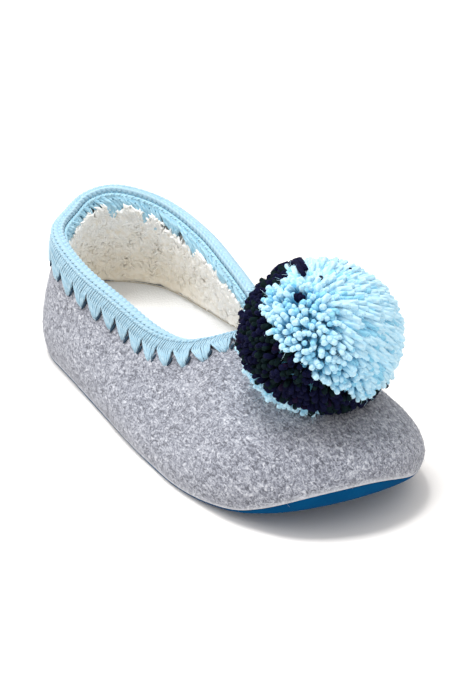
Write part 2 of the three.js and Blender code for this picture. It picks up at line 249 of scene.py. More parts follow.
# Rows of the last from the heel's back to the toe's tip. Columns: sole_x, sole_outer and sole_inner (half
# widths), collar_x, collar_outer and collar_inner (half widths), outer_z and inner_z (the collar's height),
# swell, and the profile's rise, reach and cap. Each is a share of the size that last_loop gives it.
last_sections = (
    (0.016, 0.0, 0.0, 0.0, 0.0, 0.0, 1.0, 1.0, 0.5, 0.38, 1.0, 0.55),
    (0.037, 0.2, 0.186, 0.033, 0.195, 0.225, 0.816, 1.053, 0.49, 0.38, 1.0, 0.55),
    (0.12, 0.36, 0.334, 0.155, 0.448, 0.456, 0.674, 0.79, 0.49, 0.38, 1.0, 0.55),
    (0.26, 0.412, 0.368, 0.36, 0.506, 0.524, 0.326, 0.442, 0.49, 0.38, 1.0, 0.55),
    (0.42, 0.463, 0.388, 0.58, 0.464, 0.482, 0.0, 0.095, 0.49, 0.38, 1.0, 0.55),
    (0.58, 0.509, 0.443, 0.76, 0.42, 0.428, -0.253, -0.221, 0.53, 0.39, 0.91, 0.59),
    (0.72, 0.518, 0.49, 0.89, 0.345, 0.345, -0.253, -0.253, 0.6, 0.41, 0.69, 0.7),
    (0.86, 0.448, 0.42, 0.96, 0.25, 0.25, -0.105, -0.105, 0.78, 0.44, 0.4, 0.82),
    (0.94, 0.285, 0.275, 0.99, 0.155, 0.155, -0.021, -0.021, 0.92, 0.46, 0.18, 0.92),
    (0.972, 0.0, 0.0, 1.0, 0.0, 0.0, 0.0, 0.0, 0.92, 0.47, 0.08, 0.96),
)


def last_loop():
    """The rows in metres, round the shoe: heel, outer side, toe, inner side."""
    end = len(last_sections) - 1
    rows = []
    for turn in range(2 * end):
        inner = turn > end
        step = 2 * end - turn if inner else turn
        (sole_x, sole_outer, sole_inner, collar_x, collar_outer, collar_inner, outer_z, inner_z,
         swell, rise, reach, cap) = last_sections[step]
        side = 1 if inner else -1
        rows.append((
            sole_x * length,
            side * (sole_inner if inner else sole_outer) * sole_width + toe_turn * (step / end) ** 4,
            heel_lean + collar_x * opening_length,
            side * (collar_inner if inner else collar_outer) * opening_width + throat_turn * collar_x,
            instep_height + (heel_height - instep_height) * (inner_z if inner else outer_z),
            swell * fullness, rise, reach, cap,
        ))
    return np.array(rows)


last_rows = last_loop()


def section(u):
    """All columns at places u of the loop, on a smooth curve through the rows."""
    at = (np.asarray(u, float) % 1.0) * len(last_rows)
    index = np.floor(at).astype(int)
    t = (at - index)[:, None]
    a, b, c, d = (last_rows[(index + step) % len(last_rows)] for step in (-1, 0, 1, 2))
    return b + 0.5 * t * (c - a + t * (2 * a - 5 * b + 4 * c - d + t * (3 * (b - c) + d - a)))


def sole_height(x, y):
    """The height of the sole's edge: flat at the heel, a little arched inside, and sprung at the toe."""
    share = x / length
    spring = toe_spring * (np.clip(share - spring_start, 0, None) / (sole_tip - spring_start)) ** 2
    across = np.clip((share - heel_flat_end) / (arch_end - heel_flat_end), 0, 1)
    innerwards = np.clip(0.5 + y / (0.8 * sole_width), 0, 1)
    return spring + arch_rise * innerwards * np.sin(np.pi * across) ** 2


def unit(vectors):
    return vectors / np.linalg.norm(vectors, axis=-1, keepdims=True)


def profiles(u):
    """The four handles of each profile, from the sole's edge to the collar."""
    u = np.asarray(u, float)
    here, back, ahead = section(u), section(u - 1e-4), section(u + 1e-4)
    outward = np.stack([ahead[:, 1] - back[:, 1], back[:, 0] - ahead[:, 0], np.zeros(len(u))], 1)
    outward = unit(outward)
    foot = np.stack([here[:, 0], here[:, 1], sole_height(here[:, 0], here[:, 1]) + sole_lift], 1)
    collar = here[:, 2:5]
    swell, rise, reach, cap = (here[:, i:i + 1] for i in (5, 6, 7, 8))
    tall = collar[:, 2:] - foot[:, 2:]
    lower = foot + outward * swell * handle_swell
    lower[:, 2:] += tall * rise
    upper = foot + (collar - foot) * reach + outward * swell * upper_swell * reach
    upper[:, 2:] = foot[:, 2:] + tall * cap
    return np.stack([foot, lower, upper, collar], 1)


def on_profile(handles, v):
    v = np.asarray(v, float)[:, None]
    a, b, c, d = (handles[:, i] for i in range(4))
    return a * (1 - v) ** 3 + 3 * b * v * (1 - v) ** 2 + 3 * c * v * v * (1 - v) + d * v ** 3


def last_point(u, v, offset):
    """Points of the form, moved out by offset along its normal, in the frame."""
    u = np.asarray(u, float)
    v = np.broadcast_to(np.asarray(v, float), u.shape)
    handles = profiles(u)
    along = on_profile(handles, np.minimum(v + 1e-3, 1)) - on_profile(handles, np.maximum(v - 1e-3, 0))
    round_it = on_profile(profiles(u + 1e-3), v) - on_profile(profiles(u - 1e-3), v)
    normal = np.cross(round_it, along)
    normal = unit(normal)
    offset = np.broadcast_to(np.asarray(offset, float), u.shape)[:, None]
    return on_profile(handles, v) + normal * offset + last_back


def on_felt(u, distance, from_the_collar):
    """The v at a distance along the felt, up from the sole's edge or down from the collar."""
    u = np.asarray(u, float)
    distance = np.broadcast_to(np.asarray(distance, float), u.shape)
    steps = np.linspace(0, 1, 61)
    handles = profiles(u)
    curve = np.stack([on_profile(handles, np.full(len(u), s)) for s in steps], 1)
    walked = np.concatenate([
        np.zeros((len(u), 1)),
        np.cumsum(np.linalg.norm(np.diff(curve, axis=1), axis=2), axis=1),
    ], 1)
    wanted = walked[:, -1] - distance if from_the_collar else distance
    return np.array([np.interp(want, walk, steps) for want, walk in zip(wanted, walked)])


def from_collar(u, depth, offset):
    """Points at a depth down from the collar's edge, or above it where the depth is negative."""
    u = np.asarray(u, float)
    depth = np.broadcast_to(np.asarray(depth, float), u.shape)
    handles = profiles(u)
    slope = handles[:, 3] - handles[:, 2]
    slope = unit(slope)
    below = last_point(u, on_felt(u, np.maximum(depth, 0), True), offset)
    return below + slope * np.maximum(-depth, 0)[:, None]


def eased(t):
    t = np.clip(t, 0, 1)
    return t * t * (3 - 2 * t)


def felt_foot(u):
    """How far up from the sole's edge the felt starts."""
    rise = eased((u - turn_up_rise[0]) / (turn_up_rise[1] - turn_up_rise[0]))
    fall = eased((u - turn_up_fall[0]) / (turn_up_fall[1] - turn_up_fall[0]))
    return side_turn_up + (toe_turn_up - side_turn_up) * rise * (1 - fall)


# Soft hollows and swells in the felt. Columns: place round the shoe and up it at the one end, the same at
# the other end, width, and depth, which is below zero for a hollow.
felt_folds = (
    (0.20, 0.30, 0.30, 0.62, 0.010, -0.0010),
    (0.30, 0.25, 0.345, 0.75, 0.009, -0.0009),
    (0.255, 0.35, 0.29, 0.8, 0.010, 0.0007),
    (0.10, 0.35, 0.15, 0.6, 0.011, -0.0009),
    (0.40, 0.15, 0.46, 0.32, 0.007, -0.0006),
    (0.44, 0.36, 0.56, 0.36, 0.009, -0.0007),
    (0.66, 0.28, 0.74, 0.7, 0.010, -0.0011),
    (0.80, 0.3, 0.86, 0.62, 0.010, -0.0008),
    (0.02, 0.3, 0.04, 0.7, 0.008, -0.0006),
    (0.95, 0.35, 0.93, 0.7, 0.009, -0.0006),
)


def soften(points):
    """Moves points of the felt into its hollows and swells, both faces of the wall together."""
    moved = points.copy()
    for u0, v0, u1, v1, width, depth in felt_folds:
        steps = np.linspace(0, 1, 9)
        u, v = u0 + (u1 - u0) * steps, v0 + (v1 - v0) * steps
        line = last_point(u, v, 0)
        out = last_point(u, v, 1e-3) - line
        out = unit(out)
        gaps = np.linalg.norm(points[:, None] - line[None], axis=2)
        fade = np.exp(-(gaps.min(1) / width) ** 2)
        moved += out[gaps.argmin(1)] * (depth * fade)[:, None]
    return moved


def read_points(piece):
    points = np.empty(len(piece.data.vertices) * 3, np.float32)
    piece.data.vertices.foreach_get("co", points)
    return points.reshape(-1, 3).astype(float)


def write_points(piece, points):
    piece.data.vertices.foreach_set("co", np.asarray(points, np.float32).ravel())
    piece.data.update()


felt_upper = merged_copy("upper", "felt_upper")
firm_edges(felt_upper, degrees=50, firmness=0.55)
apply_modifier(felt_upper, "SUBSURF", levels=2, render_levels=2)
felt_points = read_points(felt_upper)
write_points(felt_upper, soften(felt_points))
smooth_faces(felt_upper, degrees=70)

# The felt's cut edge at the sole is paler, where the fibres are teased out over it.
cut_edge_width = 0.0013
rim_u = np.linspace(0, 1, 481)[:-1]
rim_line = last_point(rim_u, on_felt(rim_u, felt_foot(rim_u), False), 0)
rim_gap = np.concatenate([
    np.linalg.norm(part[:, None] - rim_line[None], axis=2).min(1) for part in np.array_split(felt_points, 24)
])
cut_edge = felt_upper.data.attributes.new("cut_edge", "FLOAT", "POINT")
cut_edge.data.foreach_set("value", np.exp(-(rim_gap / cut_edge_width) ** 2).astype(np.float32))

# The felt is dyed fibre mixed before felting: pale and dark hairs side by side, matted to a soft nap.
felt, tree, shader = new_material(
    "heathered_felt", roughness=0.97, specular=0.12, sheen=0.2, sheen_roughness=0.6,
)
place = object_place(tree)
stretch = {"Vector": place, "Rotation": (0.6, 0.9, 0.4), "Scale": (280.0, 860.0, 600.0)}
stretched = add_node(tree, "ShaderNodeMapping", stretch).outputs["Vector"]
flecks = noise(tree, place, scale=520.0, detail=2.0, roughness=0.6, distortion=1.4)
hairs = noise(tree, stretched, scale=1.0, detail=2.0, roughness=0.65, distortion=1.8)
clouds = noise(tree, place, scale=60.0, detail=3.0)
mixed = work_out(tree, "ADD", flecks, hairs)
shaded = work_out(tree, "MULTIPLY_ADD", clouds, 0.12, mixed)
heather = colour_ramp(tree, work_out(tree, "MULTIPLY", shaded, 0.47), [
    (0.38, (0.085, 0.089, 0.108)),
    (0.46, (0.180, 0.188, 0.226)),
    (0.54, (0.325, 0.337, 0.387)),
    (0.65, (0.60, 0.61, 0.65)),
])
edge_share = add_node(tree, "ShaderNodeAttribute", attribute_name="cut_edge").outputs["Fac"]
paint(tree, shader, mixed_colour(tree, edge_share, heather, (0.58, 0.59, 0.62)))
roughen(tree, shader, mixed, strength=0.6, distance=0.0007)
felt_upper.data.materials.append(felt)
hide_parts("upper")
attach(felt_upper, "root")


# Nap of the felt. Short loose hairs that stand off the surface, as on any wool felt that has been handled.
# They are laid nearly flat, each a thin bent fibre that starts inside the cloth.
def mesh_piece(name, points, faces, maps=None, faces_material=None):
    """A mesh from arrays: faces is a list of arrays of three or four corners; maps holds corner places."""
    mesh = bpy.data.meshes.new(name)
    corners = np.concatenate([f.ravel() for f in faces]).astype(np.int32)
    totals = np.concatenate([np.full(len(f), f.shape[1]) for f in faces])
    starts = np.concatenate([[0], np.cumsum(totals)[:-1]]).astype(np.int32)
    mesh.vertices.add(len(points))
    mesh.vertices.foreach_set("co", np.asarray(points, np.float32).ravel())
    mesh.loops.add(len(corners))
    mesh.loops.foreach_set("vertex_index", corners)
    mesh.polygons.add(len(totals))
    mesh.polygons.foreach_set("loop_start", starts)
    mesh.polygons.foreach_set("use_smooth", np.ones(len(totals), bool))
    if faces_material is not None:
        mesh.polygons.foreach_set("material_index", np.asarray(faces_material, np.int32))
    if maps is not None:
        layer = mesh.uv_layers.new(name="along_and_round")
        layer.data.foreach_set("uv", np.asarray(np.concatenate(maps), np.float32).ravel())
    mesh.update(calc_edges=True)
    mesh.validate()
    piece = bpy.data.objects.new(name, mesh)
    bpy.context.collection.objects.link(piece)
    return piece


def tubes(lines, radii, sides, facing, ring=False):
    """Tubes along lines of equal numbers of points, with closed ends, or closed rings. They come as points,
    faces, the place along and round of each corner, and the line that each face belongs to."""
    lines = np.asarray(lines, float)
    count, steps = lines.shape[:2]
    radii = np.broadcast_to(radii, (count, steps))
    if ring:
        run = np.roll(lines, -1, 1) - np.roll(lines, 1, 1)
    else:
        run = np.gradient(lines, axis=1)
    run /= np.linalg.norm(run, axis=2)[..., None] + 1e-12
    facing = np.broadcast_to(facing, lines.shape)
    across = np.cross(run, facing)
    across /= np.linalg.norm(across, axis=2)[..., None] + 1e-12
    proud = np.cross(across, run)
    angles = np.arange(sides) * 2 * np.pi / sides
    spokes = (
        proud[:, :, None] * np.cos(angles)[None, None, :, None]
        + across[:, :, None] * np.sin(angles)[None, None, :, None]
    )
    points = (lines[:, :, None] + spokes * radii[:, :, None, None]).reshape(-1, 3)
    walked = np.concatenate([
        np.zeros((count, 1)), np.cumsum(np.linalg.norm(np.diff(lines, axis=1), axis=2), 1),
    ], 1)
    tube, step, side = np.meshgrid(
        np.arange(count), np.arange(steps if ring else steps - 1), np.arange(sides), indexing="ij",
    )
    after = (step + 1) % steps
    beside = (side + 1) % sides

    def number(line, at, spoke):
        return (line * steps + at) * sides + spoke

    quads = np.stack([
        number(tube, step, side), number(tube, step, beside),
        number(tube, after, beside), number(tube, after, side),
    ], -1).reshape(-1, 4)
    ahead = np.where(after > step, walked[tube, after], walked[tube, step] + 1e-3)
    quad_maps = np.stack([
        np.stack([walked[tube, step], side / sides], -1),
        np.stack([walked[tube, step], (side + 1) / sides], -1),
        np.stack([ahead, (side + 1) / sides], -1),
        np.stack([ahead, side / sides], -1),
    ], -2).reshape(-1, 2)
    line_of_quad = tube.reshape(-1)
    if ring:
        return points, [quads], [quad_maps], line_of_quad
    starts = lines[:, 0] - run[:, 0] * radii[:, :1] * 0.5
    ends = lines[:, -1] + run[:, -1] * radii[:, -1:] * 0.5
    first_start = len(points)
    first_end = first_start + count
    points = np.concatenate([points, starts, ends])
    line, spoke = np.meshgrid(np.arange(count), np.arange(sides), indexing="ij")
    turn = (spoke + 1) % sides
    caps = np.concatenate([
        np.stack([first_start + line, number(line, 0, turn), number(line, 0, spoke)], -1).reshape(-1, 3),
        np.stack([first_end + line, number(line, steps - 1, spoke), number(line, steps - 1, turn)], -1)
        .reshape(-1, 3),
    ])
    ends_along = np.concatenate([np.zeros(count * sides), np.repeat(walked[:, -1], sides)])
    cap_maps = np.stack([
        np.stack([ends_along, np.full(len(ends_along), 0.5)], -1),
        np.stack([ends_along, np.tile((spoke / sides).ravel(), 2)], -1),
        np.stack([ends_along, np.tile(((spoke + 1) / sides).ravel(), 2)], -1),
    ], -2).reshape(-1, 2)
    owners = np.concatenate([line_of_quad, np.tile(line.ravel(), 2)])
    return points, [quads, caps], [quad_maps, cap_maps], owners


rng = np.random.default_rng(11)
nap_count = 8000
nap_above_sole = 0.0015
nap_below_collar = 0.006
nap_shortest = 0.0009
nap_longest = 0.0021
nap_seat = 0.0002
nap_u = rng.random(nap_count)
nap_low = on_felt(nap_u, felt_foot(nap_u) + nap_above_sole, False)
nap_high = on_felt(nap_u, nap_below_collar, True)
nap_v = nap_low + (nap_high - nap_low) * rng.random(nap_count)
felt_tree = BVHTree.FromPolygons(
    [v.co.copy() for v in felt_upper.data.vertices], [tuple(p.vertices) for p in felt_upper.data.polygons],
)
nap_seats = [felt_tree.find_nearest(Vector(point)) for point in soften(last_point(nap_u, nap_v, 0.0005))]
nap_out = np.array([tuple(seat[1]) for seat in nap_seats])
nap_root = np.array([tuple(seat[0]) for seat in nap_seats]) - nap_out * nap_seat
nap_way = rng.normal(size=(nap_count, 3))
nap_way = unit(nap_way - nap_out * (nap_way * nap_out).sum(1)[:, None])
nap_curl = np.cross(nap_out, nap_way) * rng.normal(size=(nap_count, 1)) * 0.5
nap_reach = (nap_shortest + (nap_longest - nap_shortest) * rng.random(nap_count))[:, None]
nap_lines = np.stack([
    nap_root,
    nap_root + (nap_way * 0.4 + nap_out * 0.28 + nap_curl * 0.2) * nap_reach,
    nap_root + (nap_way * 0.8 + nap_out * 0.34 + nap_curl) * nap_reach,
], 1)
nap_radii = np.array([[0.00006, 0.00005, 0.00002]])
felt_nap = mesh_piece("felt_nap", *tubes(nap_lines, nap_radii, 3, nap_out[:, None])[:3])
wool_hair, tree, shader = new_material("loose_wool_hair", roughness=0.9, specular=0.2)
speckled(tree, shader, scale=700.0, dark=(0.36, 0.37, 0.41), light=(0.64, 0.65, 0.69))
felt_nap.data.materials.append(wool_hair)
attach(felt_nap, "root")


# Footbed cover. Brushed cotton that lies over the pad from side to side, is drawn up the lining in a low
# cup from the heel to the ball, and is seamed to it there with beige thread.
footbed_top = 0.0113
cup_height = 0.0062
cup_width = 0.012
cup_wall = -(felt_wall + 0.0012)
cup_end = 0.38
cup_fade = 0.12
seam_radius = 0.00024
seamed_lift = 0.003
seam_inset = 0.0012
seam_rise = 0.0003
cover_gap = 0.00015
cup_heel_round = 0.028
cup_toe_round = 0.03
cup_count = 320
cup_rows = 18
cup_u = np.arange(cup_count) / cup_count
cup_lift = cup_height * eased((cup_end - np.abs(cup_u - np.round(cup_u))) / cup_fade)
cup_tries = np.linspace(0.0, 0.7, 71)
cup_walls = np.stack([last_point(cup_u, v, cup_wall) for v in cup_tries], 1)


def ring_cloth(columns, rows):
    """Quads of a cloth in columns that run round the shoe, each with as many rows."""
    column, row = np.meshgrid(np.arange(columns), np.arange(rows - 1), indexing="ij")
    beside = (column + 1) % columns
    return np.stack([
        column * rows + row, column * rows + row + 1, beside * rows + row + 1, beside * rows + row,
    ], -1).reshape(-1, 4)


def footbed_height(points):
    return sole_height(points[..., 0] - last_back[0], points[..., 1] - last_back[1]) + footbed_top


cup_rise = cup_walls[..., 2] - footbed_height(cup_walls)
cup_v = np.array([np.interp(lift, rise, cup_tries) for lift, rise in zip(cup_lift, cup_rise)])
cup_edge = last_point(cup_u, cup_v, cup_wall)
cup_middle = (cup_edge + cup_edge[-np.arange(cup_count)]) / 2
cup_heel = cup_edge[:, 0].min() + cup_heel_round
cup_toe = cup_edge[:, 0].max() - cup_toe_round
cup_middle[:, 0] = np.clip(cup_middle[:, 0], cup_heel, cup_toe)
cup_inward = (cup_middle - cup_edge) * np.array([1, 1, 0])
cup_reach = np.linalg.norm(cup_inward, axis=1)[:, None]
cup_inward /= cup_reach
cup_points = []
for t in np.linspace(0, 1, cup_rows):
    away = cup_reach * t ** 1.6
    points = cup_edge + cup_inward * away
    climb = np.clip(1 - away[:, 0] / cup_width, 0, 1) ** 2.2
    points[:, 2] = footbed_height(points) + cover_gap + cup_lift * climb
    cup_points.append(points)
cup_points = np.stack(cup_points, 1).reshape(-1, 3)
cup_quads = ring_cloth(cup_count, cup_rows)[:, [0, 3, 2, 1]]
footbed_cover = mesh_piece("footbed_cover", cup_points, [cup_quads])
footbed_cover.data.materials.append(footbed_cloth)
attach(footbed_cover, "root")

seamed = np.flatnonzero(cup_lift > seamed_lift)
seamed = np.roll(seamed, -int(np.argmax(np.diff(seamed))) - 1)
seam_line = cup_edge[seamed] + cup_inward[seamed] * seam_inset + np.array([0, 0, seam_rise])
seam_tube = tubes(seam_line[None], seam_radius, 6, np.array([0.0, 0.0, 1.0]))
footbed_seam = mesh_piece("footbed_seam", *seam_tube[:3])
seam_thread, tree, shader = new_material("beige_seam_thread", roughness=0.9, specular=0.1)
speckled(tree, shader, scale=900.0, dark=(0.48, 0.43, 0.35), light=(0.64, 0.59, 0.51))
footbed_seam.data.materials.append(seam_thread)
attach(footbed_seam, "root")


# Fleece lining. Cream pile cloth, sewn inside the upper from the footbed to just under the collar.
# Its pile is matted into soft clumps, with loose locks that stand off it; shade between the clumps and low at
# the heel is painted into its colour.
fleece_depth = 0.0032
fleece_edge = 0.0063
fleece_rag = 0.0008
fleece_gap = 0.0003
fleece_columns = 320
fleece_rows = 56
column_u = np.arange(fleece_columns) / fleece_columns
ragged_waves = ((7, 0.1), (17, 0.45), (31, 0.8), (43, 0.3))
fleece_ragged = sum(np.sin(2 * np.pi * (column_u * waves + start)) for waves, start in ragged_waves)
fleece_high = on_felt(column_u, fleece_edge + fleece_rag * fleece_ragged, True)
fleece_u = np.repeat(column_u, fleece_rows)
fleece_share = np.tile(np.linspace(0, 1, fleece_rows), fleece_columns)
fleece_low = np.repeat(cup_v + 0.004, fleece_rows)
fleece_v = fleece_low + (np.repeat(fleece_high, fleece_rows) - fleece_low) * fleece_share
# The pile thins out at both of its edges.
fleece_full = np.clip(np.minimum((1 - fleece_share) * 22, fleece_share * 9 + 0.3), 0.15, 1)
fleece_in = -(felt_wall + fleece_gap + fleece_depth * fleece_full)
fleece_points = last_point(fleece_u, fleece_v, fleece_in)
fleece = mesh_piece("fleece_lining", fleece_points, [ring_cloth(fleece_columns, fleece_rows)])
clump_cloud = bpy.data.textures.new("fleece_clumps", "CLOUDS")
clump_cloud.noise_scale = 0.006
clump_cloud.noise_depth = 2
apply_modifier(fleece, "DISPLACE", texture=clump_cloud, texture_coords="LOCAL", strength=0.003, mid_level=0.5)


def pile_colours(tree, shadow, middle, light):
    """Cream pile with painted light and shade: paler on the clumps, darker between them, and a warm painted
    shade low at the heel.
    """
    clumps = noise(tree, object_place(tree), scale=260.0, detail=4.0, roughness=0.6, distortion=1.2)
    colour = colour_ramp(tree, clumps, [(0.32, shadow), (0.5, middle), (0.66, light)])
    heel_shade = add_node(tree, "ShaderNodeAttribute", attribute_name="heel_shade").outputs["Fac"]
    # The warm beige mixed in low at the heel is painted shade.
    return clumps, mixed_colour(tree, heel_shade, colour, (0.74, 0.62, 0.42))


# Painted shade: the pile is coloured warmer and darker low at the heel, where the heel's own wall shades it.
heel_shade_height = 0.017
heel_shade_fade = 0.026
heel_shade_front = -0.040
heel_shade_run = 0.045
heel_shade_most = 0.5


def paint_heel_shade(piece):
    """Marks where the pile gets a warm, darker painted shade, low at the heel and fading forward and upward.
    """
    points = read_points(piece)
    low = np.clip(1.25 - (points[:, 2] - heel_shade_height) / heel_shade_fade, 0, 1)
    behind = eased((heel_shade_front - points[:, 0]) / heel_shade_run)
    heel_shade = piece.data.attributes.new("heel_shade", "FLOAT", "POINT")
    heel_shade.data.foreach_set("value", (low * behind * heel_shade_most).astype(np.float32))


paint_heel_shade(fleece)
pile_finish = {"roughness": 1.0, "specular": 0.05, "sheen": 0.3, "sheen_roughness": 0.6}
fleece_cloth, tree, shader = new_material("cream_fleece", **pile_finish)
clumps, cream = pile_colours(tree, (0.84, 0.775, 0.67), (0.925, 0.895, 0.84), (0.965, 0.95, 0.92))
paint(tree, shader, cream)
roughen(tree, shader, clumps, strength=0.7, distance=0.0012)
fleece.data.materials.append(fleece_cloth)
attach(fleece, "root")

# Loose locks of the pile, and tufts of them that stand up over its top edge.
lock_count = 5200
tuft_locks = 900
tuft_count = 36
tuft_spread = 0.0035
tuft_top = 0.0068
tuft_drop = 0.003
lock_top = 0.0060
lock_drop = 0.0040
lock_shortest = 0.0024
lock_longer = 0.0022
lock_sink = 0.0002
lock_u = rng.random(lock_count)
tuft_u = rng.random(tuft_count)
lock_u[:tuft_locks] = rng.choice(tuft_u, tuft_locks) + rng.normal(size=tuft_locks) * tuft_spread
lock_u %= 1.0
lock_high = on_felt(lock_u, lock_top + lock_drop * rng.random(lock_count), True)
lock_low = np.interp(lock_u, cup_u, cup_v) + 0.11
lock_v = lock_low + (lock_high - lock_low) * rng.random(lock_count) ** 0.9
tuft_depth = tuft_top + tuft_drop * rng.random(tuft_locks)
lock_v[:tuft_locks] = on_felt(lock_u[:tuft_locks], tuft_depth, True)
lock_root = last_point(lock_u, lock_v, -(felt_wall + fleece_depth - lock_sink))
lock_in = unit(lock_root - last_point(lock_u, lock_v, 0.0))
lock_way = rng.normal(size=(lock_count, 3))
lock_way[:tuft_locks] = lock_way[:tuft_locks] * 0.45 + np.array([0, 0, 1])
lock_way = unit(lock_way - lock_in * (lock_way * lock_in).sum(1)[:, None])
lock_side = np.cross(lock_in, lock_way)
lock_reach = (lock_shortest + lock_longer * rng.random(lock_count))[:, None]
lock_bend = rng.normal(size=(lock_count, 1)) * 0.5
lock_rise = (0.06 + 0.16 * rng.random(lock_count))[:, None]
lock_lines = np.stack([
    lock_root,
    lock_root + (lock_way * 0.30 + lock_in * lock_rise * 0.7 + lock_side * lock_bend * 0.5) * lock_reach,
    lock_root + (lock_way * 0.65 + lock_in * lock_rise * 1.0 + lock_side * lock_bend * 0.3) * lock_reach,
    lock_root + (lock_way * 0.95 + lock_in * lock_rise * 0.6 - lock_side * lock_bend * 0.4) * lock_reach,
], 1)
lock_radii = np.array([[0.0008, 0.0009, 0.0007, 0.0002]])
fleece_pile = mesh_piece("fleece_pile", *tubes(lock_lines, lock_radii, 4, lock_in[:, None])[:3])
paint_heel_shade(fleece_pile)
pile_hair, tree, shader = new_material("cream_pile_lock", **pile_finish)
clumps, cream = pile_colours(tree, (0.90, 0.86, 0.79), (0.95, 0.93, 0.89), (0.975, 0.965, 0.945))
paint(tree, shader, cream)
fleece_pile.data.materials.append(pile_hair)
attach(fleece_pile, "root")


# Crocheted edging. Light blue yarn worked through the felt all round the collar: fans of strands that
# meet in one hole, a thin cord over their heads, and a row of chain stitches along the top.
def yarn_twist_group():
    """Grooves between the plies of a spun yarn, from the place along it and round it."""
    group = bpy.data.node_groups.new("yarn_twist", "ShaderNodeTree")
    for socket, way in (("Plies", "INPUT"), ("Turns", "INPUT"), ("Ridge", "OUTPUT"), ("Along", "OUTPUT")):
        group.interface.new_socket(socket, in_out=way, socket_type="NodeSocketFloat")
    given = group.nodes.new("NodeGroupInput").outputs
    result = group.nodes.new("NodeGroupOutput")
    uv = add_node(group, "ShaderNodeUVMap", uv_map="along_and_round")
    split = add_node(group, "ShaderNodeSeparateXYZ", {0: uv.outputs["UV"]})
    around = work_out(group, "MULTIPLY", split.outputs["Y"], given["Plies"])
    turned = work_out(group, "MULTIPLY_ADD", split.outputs["X"], given["Turns"], around)
    wave = work_out(group, "SINE", work_out(group, "MULTIPLY", turned, 2 * math.pi))
    group.links.new(work_out(group, "MULTIPLY_ADD", wave, 0.5, 0.5), result.inputs["Ridge"])
    group.links.new(split.outputs["X"], result.inputs["Along"])
    return group


yarn_twist = yarn_twist_group()


def yarn_material(name, groove_shade, ridge_colour, pale, turns=260.0, sheen=0.25, root=None):
    """Soft spun yarn: painted shade makes it darker between its three plies, with paler stretches along it.

    root holds the painted shade colour deep in a tuft and the two places along the yarn between which it
    fades."""
    material, tree, shader = new_material(name, roughness=0.92, specular=0.12, sheen=sheen)
    twist = tree.nodes.new("ShaderNodeGroup")
    twist.node_tree = yarn_twist
    twist.inputs["Plies"].default_value = 3.0
    twist.inputs["Turns"].default_value = turns
    place = object_place(tree)
    spun = colour_ramp(tree, twist.outputs["Ridge"], [(0.1, groove_shade), (0.6, ridge_colour)])
    colour = mixed_colour(tree, noise(tree, place, scale=330.0, detail=3.0), spun, pale)
    # Deep in a tuft the yarn is painted a darker colour, as shade.
    if root is not None:
        depth = add_node(
            tree, "ShaderNodeMapRange",
            {"Value": twist.outputs["Along"], "From Min": root[1], "From Max": root[2]},
        )
        colour = mixed_colour(tree, depth.outputs["Result"], root[0], colour)
    paint(tree, shader, colour)
    height = work_out(tree, "MULTIPLY_ADD", noise(tree, place, scale=2600.0), 0.35, twist.outputs["Ridge"])
    roughen(tree, shader, height, strength=0.6, distance=0.0003)
    return material


heel_fan_pitch = 0.0136
throat_fan_pitch = 0.0078
band_depth = 0.004
fan_lean = 0.36
gather_start = 0.40
gather_share = 0.64
tip_proud = 0.0009
cord_turns = 104
fine_u = np.linspace(0, 1, 1441)
fine_edge = last_point(fine_u, np.ones(len(fine_u)), 0)
fine_steps = np.linalg.norm(np.diff(fine_edge, axis=0), axis=1)
collar_walked = np.concatenate([[0], np.cumsum(fine_steps)])


def collar_place(share):
    """Places round the collar at even shares of its length."""
    return np.interp((share % 1.0) * collar_walked[-1], collar_walked, fine_u)


def fan_pitch(u):
    """The spacing of the fans, which narrows from the heel to the throat."""
    forward = (section(u)[:, 2] - heel_lean) / opening_length
    return heel_fan_pitch + (throat_fan_pitch - heel_fan_pitch) * forward


half_way = len(fine_u) // 2
counted = np.cumsum(fine_steps / fan_pitch((fine_u[1:] + fine_u[:-1]) / 2))
counted = np.concatenate([[0], counted])[:half_way + 1]
half_fans = round(counted[-1])
half_gaps = np.interp(np.arange(half_fans + 1) * counted[-1] / half_fans, counted, fine_u[:half_way + 1])
fan_gaps = np.concatenate([half_gaps, 1 - half_gaps[-2::-1]])
fan_count = 2 * half_fans


def fan_place(number):
    """Places round the collar by fan: whole numbers are the gaps between fans."""
    return np.interp(number % fan_count, np.arange(fan_count + 1), fan_gaps)


def gathered(t):
    """How far the strands of a fan have drawn together at a share t of their way."""
    return np.clip((t - gather_start) / (1 - gather_start), 0, 1) ** 1.25


